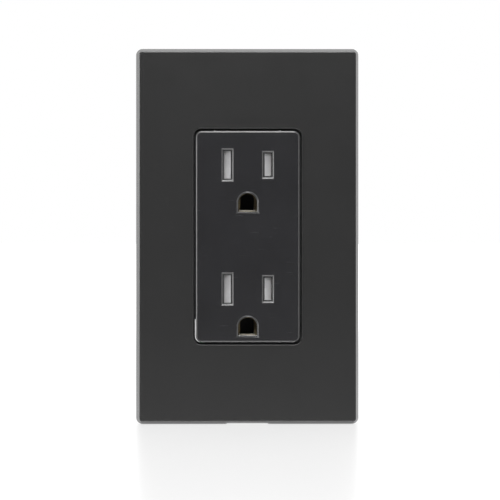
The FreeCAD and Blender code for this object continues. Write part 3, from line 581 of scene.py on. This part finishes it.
def acetal(name, light, dark, depth):
    """Slippery unfilled plastic: a soft sheen, a faint grain and a few dull rub marks."""
    material, place = start_material(name)
    cloud = noise(place, 320.0, 4.0, 0.6)
    grain = noise(place, 2400.0, 3.0, 0.7)
    rub = noise(place, 900.0, 3.0, 0.6, (1.0, 1.0, 8.0)).step(0.56, 0.70)
    base = cloud.between((*light, 1.0), (*dark, 1.0))
    colour = (0.35 * rub).between(base, (*dark, 1.0))
    rough = 0.38 + 0.12 * grain + 0.14 * rub
    sockets = {"Base Color": colour, "Roughness": rough, "IOR": 1.48}
    return finish_material(material, grain - 0.3 * rub, depth, sockets)


shutter_grey = acetal("shutter_grey", (0.80, 0.80, 0.82), (0.68, 0.68, 0.70), 0.010 * MM)
tray_nylon = acetal("tray_nylon", (0.62, 0.60, 0.54), (0.54, 0.52, 0.46), 0.012 * MM)
for end in ENDS:
    finish_node(f"shutter_carrier_{end}", tray_nylon, 0.10 * MM)
    for side in SIDES:
        finish_node(f"{side}_shutter_{end}", shutter_grey, 0.10 * MM)


def coil_mesh(length, radius, wire, turns):
    """A compression spring along X, with close turns at both ends."""
    rings = 36 * turns
    sides = 12
    points = []
    for ring in range(rings + 1):
        share = ring / rings
        angle = math.tau * turns * share
        closing = math.sin(math.tau * share) * 0.45 / math.tau
        along = (share - closing - 0.5) * (length - 2 * wire)
        for corner in range(sides):
            around = math.tau * corner / sides
            reach = radius - wire + wire * math.cos(around)
            x = along + wire * math.sin(around)
            points.append((x, reach * math.cos(angle), reach * math.sin(angle)))
    faces = []
    for ring in range(rings):
        for corner in range(sides):
            low = ring * sides
            following = (corner + 1) % sides
            faces.append((low + corner, low + following, low + sides + following, low + sides + corner))
    last = rings * sides
    faces += [tuple(range(sides)), tuple(range(last + sides - 1, last - 1, -1))]
    return solid_mesh(points, faces)


spring_wire = plated_screw("spring_wire", (0.62, 0.62, 0.63), (0.40, 0.39, 0.38))
for end in ENDS:
    low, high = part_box(f"shutter_spring_{end}")
    middle = (low + high) / 2
    mesh = coil_mesh(high.x - low.x, (high.y - low.y) / 2, 0.125 * MM, 9)
    spring = place_piece(f"wound_spring_{end}", mesh, spring_wire, middle, (0, 0, 1), "device", 0.01 * MM)
    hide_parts(f"shutter_spring_{end}")
    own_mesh(spring)


# ---------------------------------------------------------------------------------------------
# Face: the part of the device that shows, moulded in glossy charcoal. It is polished in the
# mould, so it has a faint ripple and fine hairlines; its slot and outer bevels carry a painted highlight.


def gloss_charcoal(name, shade, box, ripple, reach, tint, wear_and_painted_highlight):
    """Glossy charcoal plastic for a piece that fills a box. Its bevels get a lighter painted highlight, its
    outer rim is lighter from handling wear and painted highlight, and its inward walls are painted near black
    as shade.
    """
    material, place = start_material(name)
    cloud = noise(place, 85.0, 4.0, 0.6)
    mottle = noise(place, 1400.0, 3.0, 0.7)
    hair = noise(place, 1700.0, 2.0, 0.55, (9.0, 1.0, 0.5)).step(0.70, 0.76)
    dust = noise(place, 3400.0, 2.0, 0.5).step(0.74, 0.80)
    # The rim mask lightens the outer border, as handling wear and a painted highlight.
    rim_wear_and_highlight = rim(place, *box, reach)
    low = tuple(level * (1 - tint) for level in shade)
    high = tuple(level * (1 + tint) for level in shade)
    base = (0.5 * cloud + 0.5 * mottle).step(0.3, 0.7).between((*low, 1.0), (*high, 1.0))
    dusty = (0.25 * dust).between(base, (0.16, 0.16, 0.16, 1.0))
    handled = (0.25 * rim_wear_and_highlight).between(dusty, (0.06, 0.06, 0.06, 1.0))
    # The slanting bevels take a lighter colour as a painted highlight.
    painted_bevel_highlight = bevels(place) * (0.75 + 0.5 * (mottle - 0.5))
    # Inward walls are painted near black: painted shade in the gaps round the face and in the slots.
    wall = walls(place)
    shown = painted_bevel_highlight.between(handled, (*wear_and_painted_highlight, 1.0))
    # The near-black colour here is the painted shade of those walls.
    colour = wall.between(shown, (0.006, 0.006, 0.006, 1.0))
    rough = 0.16 + 0.05 * cloud + 0.10 * hair + 0.05 * mottle + 0.05 * rim_wear_and_highlight + 0.06 * painted_bevel_highlight + 0.6 * wall
    height = mottle - 0.25 * hair
    sockets = {
        "Base Color": colour,
        "Roughness": rough,
        "IOR": 1.52,
        "Coat Weight": 0.15 - 0.15 * wall,
        "Coat Roughness": 0.08,
    }
    return finish_material(material, height, ripple, sockets)


# The face's last colour is the painted highlight on its bevels.
face_charcoal = gloss_charcoal("face_charcoal", (0.0080, 0.0080, 0.0098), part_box("face"),
                               0.0022 * MM, 0.5 * MM, 0.22, (0.10, 0.10, 0.10))
finish_node("face", face_charcoal, 0.06 * MM)


# ---------------------------------------------------------------------------------------------
# Body screws: four zinc-plated screws sunk into the back, which clamp the back body and the
# strap to the face. Only their cross-recessed heads show.

screw_zinc = plated_screw("screw_zinc", (0.68, 0.69, 0.71), (0.44, 0.44, 0.43))


def pan_head(radius, height):
    """The half outline of a pan head: a short wall under a flat-topped curve."""
    round_by = height * 0.6
    arc = [(radius - round_by + round_by * math.sin(a), height - round_by + round_by * math.cos(a))
           for a in (math.pi / 2 * n / 5 for n in range(5, -1, -1))]
    return [(0.0, 0.0), (radius, 0.0), *arc, (0.0, height)]


def make_body_screws():
    """The four heads and shanks, as one group like their solids."""
    low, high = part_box("body_screws")
    radius = 2.3 * MM
    height = 1.7 * MM
    seat = high.y - 1.8 * MM
    tip = low.y - seat
    shank = [(0.0, tip), (1.0 * MM, tip), (1.2 * MM, tip + MM), (1.2 * MM, 0.0), (0.0, 0.0)]
    turn = Vector((0.0, 0.0, 1.0)).rotation_difference(Vector((0.0, 1.0, 0.0))).to_matrix().to_4x4()
    screws = []
    for across in (low.x + radius, high.x - radius):
        for up in (low.z + radius, high.z - radius):
            cross = cross_and_slot(radius, height, 1.1 * MM, 0.5 * MM)[:2]
            head = cut(lathe(pan_head(radius, height)), cross)
            screw = join([head, lathe(shank)])
            screw.transform(Matrix.Translation((across, seat, up)) @ turn)
            screws.append(screw)
    piece = place_piece("cross_body_screws", join(screws), screw_zinc, (0, 0, 0), (0, 0, 1), "device")
    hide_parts("body_screws")


make_body_screws()


# ---------------------------------------------------------------------------------------------
# Box screws: two long 6-32 screws that pass through the strap's slots into the wall box. Each
# is kept in its slot by a punched washer of brown vulcanised fibre.


def make_box_screw(end):
    """One long screw: a low dome with a combined drive, a plain neck and a rolled thread."""
    low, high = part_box(f"mounting_screw_{end}")
    seat_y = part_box("strap")[0].y
    seat = Vector(((low.x + high.x) / 2, seat_y, (low.z + high.z) / 2))
    radius = (high.x - low.x) / 2
    top = seat_y - low.y
    neck_end = seat_y - 0.45 * MM
    head = cut(lathe(binding_head(radius, top)), cross_and_slot(radius, top, top * 0.6, 0.9 * MM))
    neck = lathe([(0.0, neck_end), (1.4 * MM, neck_end), (1.4 * MM, 0.1 * MM), (0.0, 0.1 * MM)])
    screw = join([head, neck, thread(neck_end, seat_y - high.y, 1.6 * MM)])
    piece = place_piece(f"threaded_box_screw_{end}", screw, screw_zinc, seat, (0, -1, 0), "device")
    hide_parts(f"mounting_screw_{end}")


def pressed_fibre():
    """Vulcanised fibre sheet: brown, streaked and slightly hairy."""
    material, place = start_material("pressed_fibre")
    streak = noise(place, 700.0, 5.0, 0.7, (7.0, 1.0, 1.0))
    hairs = noise(place, 2600.0, 3.0, 0.7, (1.0, 1.0, 4.0))
    colour = streak.between((0.40, 0.24, 0.12, 1.0), (0.26, 0.14, 0.07, 1.0))
    rough = 0.62 + 0.2 * hairs
    sockets = {"Base Color": colour, "Roughness": rough}
    return finish_material(material, 0.5 * streak + 0.5 * hairs, 0.02 * MM, sockets)


fibre = pressed_fibre()
for end in ENDS:
    make_box_screw(end)
    finish_node(f"screw_retainer_{end}", fibre, 0.04 * MM)


# ---------------------------------------------------------------------------------------------
# Mounting plate: black polycarbonate, screwed to the strap by two short black screws. Nothing
# of it shows from the room once the cover is on.

subplate_black = glass_nylon("subplate_black", (0.026, 0.026, 0.027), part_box("mounting_plate"), 0.5 * MM)
finish_node("mounting_plate", subplate_black, 0.12 * MM)
screw_black = plated_screw("screw_black", (0.05, 0.05, 0.05), (0.03, 0.03, 0.03), 0.3)


def make_plate_screw(end):
    """One short screw with a thin pan head and a straight slot."""
    low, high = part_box(f"plate_screw_{end}")
    seat_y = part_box("mounting_plate")[0].y
    seat = Vector(((low.x + high.x) / 2, seat_y, (low.z + high.z) / 2))
    radius = (high.x - low.x) / 2
    top = seat_y - low.y
    slot = cross_and_slot(radius, top, top, 0.9 * MM)[2:]
    screw = join([cut(lathe(pan_head(radius, top)), slot), thread(0.1 * MM, seat_y - high.y, MM)])
    piece = place_piece(f"threaded_plate_screw_{end}", screw, screw_black, seat, (0, -1, 0), "device")
    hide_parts(f"plate_screw_{end}")


for end in ENDS:
    make_plate_screw(end)


# ---------------------------------------------------------------------------------------------
# Cover: the wall plate that clips over the mounting plate, moulded in the same glossy charcoal
# and pulled off by the notch in its lower rim. Its rim is coloured lighter, as handling wear and a painted
# highlight.

# The cover's last colour is the painted highlight on its bevels; its rim is lightened as wear and painted
# highlight.
cover_charcoal = gloss_charcoal("cover_charcoal", (0.0135, 0.0135, 0.0135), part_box("cover"),
                                0.0012 * MM, 0.9 * MM, 0.05, (0.06, 0.06, 0.06))
finish_node("cover", cover_charcoal, 0.06 * MM)


# ---------------------------------------------------------------------------------------------
# Studio: the outlet stands on a pale glossy floor, against white. Soft square lights stand
# overhead, in front and on the left, with a weak one on the right.


def make_floor():
    """A wide white floor with a soft reflection. It glows: to the eye it glows less near the outlet, a
    painted shade that fades to white further out, and for the object it glows brighter behind the outlet, a
    painted light on the plate's lower rim.
    """
    size = 6.0
    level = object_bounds()[0][2]
    mesh = bpy.data.meshes.new("floor")
    corners = [(-size, -size, level), (size, -size, level), (size, size, level), (-size, size, level)]
    mesh.from_pydata(corners, [], [(0, 1, 2, 3)])
    floor = bpy.data.objects.new("floor", mesh)
    bpy.context.scene.collection.objects.link(floor)
    material, place = start_material("floor_white")
    cloud = noise(place, 3.0, 2.0)
    seen = place.make("LightPath", {}, {}, output=0)
    matt = cloud.make("BsdfDiffuse", {}, {"Color": (0.25, 0.25, 0.25, 1.0)})
    x, y, _ = place.split()
    beyond = y.step(-0.02, 0.0)
    away = (x * x + y * y).step(0.06, 2.0)
    # Painted light and shade: the eye sees the floor dimmer near the outlet, and other rays find it glowing
    # behind the outlet.
    lift = (1 - seen) * (0.12 + 0.5 * beyond) + seen * (1.05 + 0.6 * away)
    both = cloud.make("AddShader", {}, {0: matt, 1: cloud.make("Emission", {}, {"Color": lift})})
    gloss = cloud.make("BsdfGlossy", {}, {"Color": (0.9, 0.9, 0.9, 1.0), "Roughness": 0.20 + 0.03 * cloud})
    mixed = cloud.make("MixShader", {}, {0: 0.42, 1: both, 2: gloss})
    close_output(material, mixed)
    mesh.materials.append(material)


def make_light(name, place, target, size, power):
    """A soft square light at a place, aimed at a target."""
    lamp = bpy.data.lights.new(name, "AREA")
    lamp.size = size
    lamp.energy = power
    light = bpy.data.objects.new(name, lamp)
    bpy.context.scene.collection.objects.link(light)
    light.location = place
    aim = Vector(target) - Vector(place)
    light.rotation_euler = aim.to_track_quat("-Z", "Y").to_euler()


def make_world():
    """White behind the object for the eye, and a darker room on the camera's side."""
    world = bpy.data.worlds.new("studio")
    bpy.context.scene.world = world
    world.use_nodes = True
    world.node_tree.nodes.clear()
    start = Signal(world.node_tree)
    way = start.make("TexCoord", {}, {}, output=0)
    depth = start.make("SeparateXYZ", {}, {"Vector": way}, output=1)
    room = depth.step(-0.5, 0.9) * 0.50 + 0.25
    seen = start.make("LightPath", {}, {}, output=0)
    level = seen * 1.0 + (1 - seen) * room
    sky = start.make("Background", {}, {"Color": (1.0, 1.0, 1.0, 1.0), "Strength": level})
    output = world.node_tree.nodes.new("ShaderNodeOutputWorld")
    world.node_tree.links.new(sky.socket, output.inputs["Surface"])


def make_camera():
    """A long lens almost square to the wall plate."""
    distance = 1.8
    view_width = 157.3 * MM
    target = Vector((0.85 * MM, 0.0, -4.26 * MM))
    azimuth = math.radians(-1.3)
    elevation = math.radians(0.6)
    away = Vector((math.sin(azimuth), -math.cos(azimuth) * math.cos(elevation), math.sin(elevation)))
    lens = bpy.data.cameras.new("camera")
    lens.sensor_width = 36.0
    lens.lens = lens.sensor_width * distance / view_width
    lens.clip_end = 20.0
    camera = bpy.data.objects.new("camera", lens)
    bpy.context.scene.collection.objects.link(camera)
    camera.location = target + away * distance
    camera.rotation_euler = (-away).to_track_quat("-Z", "Y").to_euler()
    bpy.context.scene.camera = camera


make_floor()
make_world()
make_light("overhead", (0.0, -0.37, 0.93), (0.0, 0.0, 0.0), 0.42, 8.0)
make_light("front", (0.0, -1.1, 0.50), (0.0, 0.0, 0.0), 0.50, 5.2)
make_light("key", (-0.93, -0.37, 0.0), (0.0, 0.0, 0.0), 0.42, 5.0)
make_light("fill", (0.93, -0.37, 0.0), (0.0, 0.0, 0.0), 0.42, 0.8)
make_camera()
bpy.context.scene.view_settings.view_transform = "Standard"
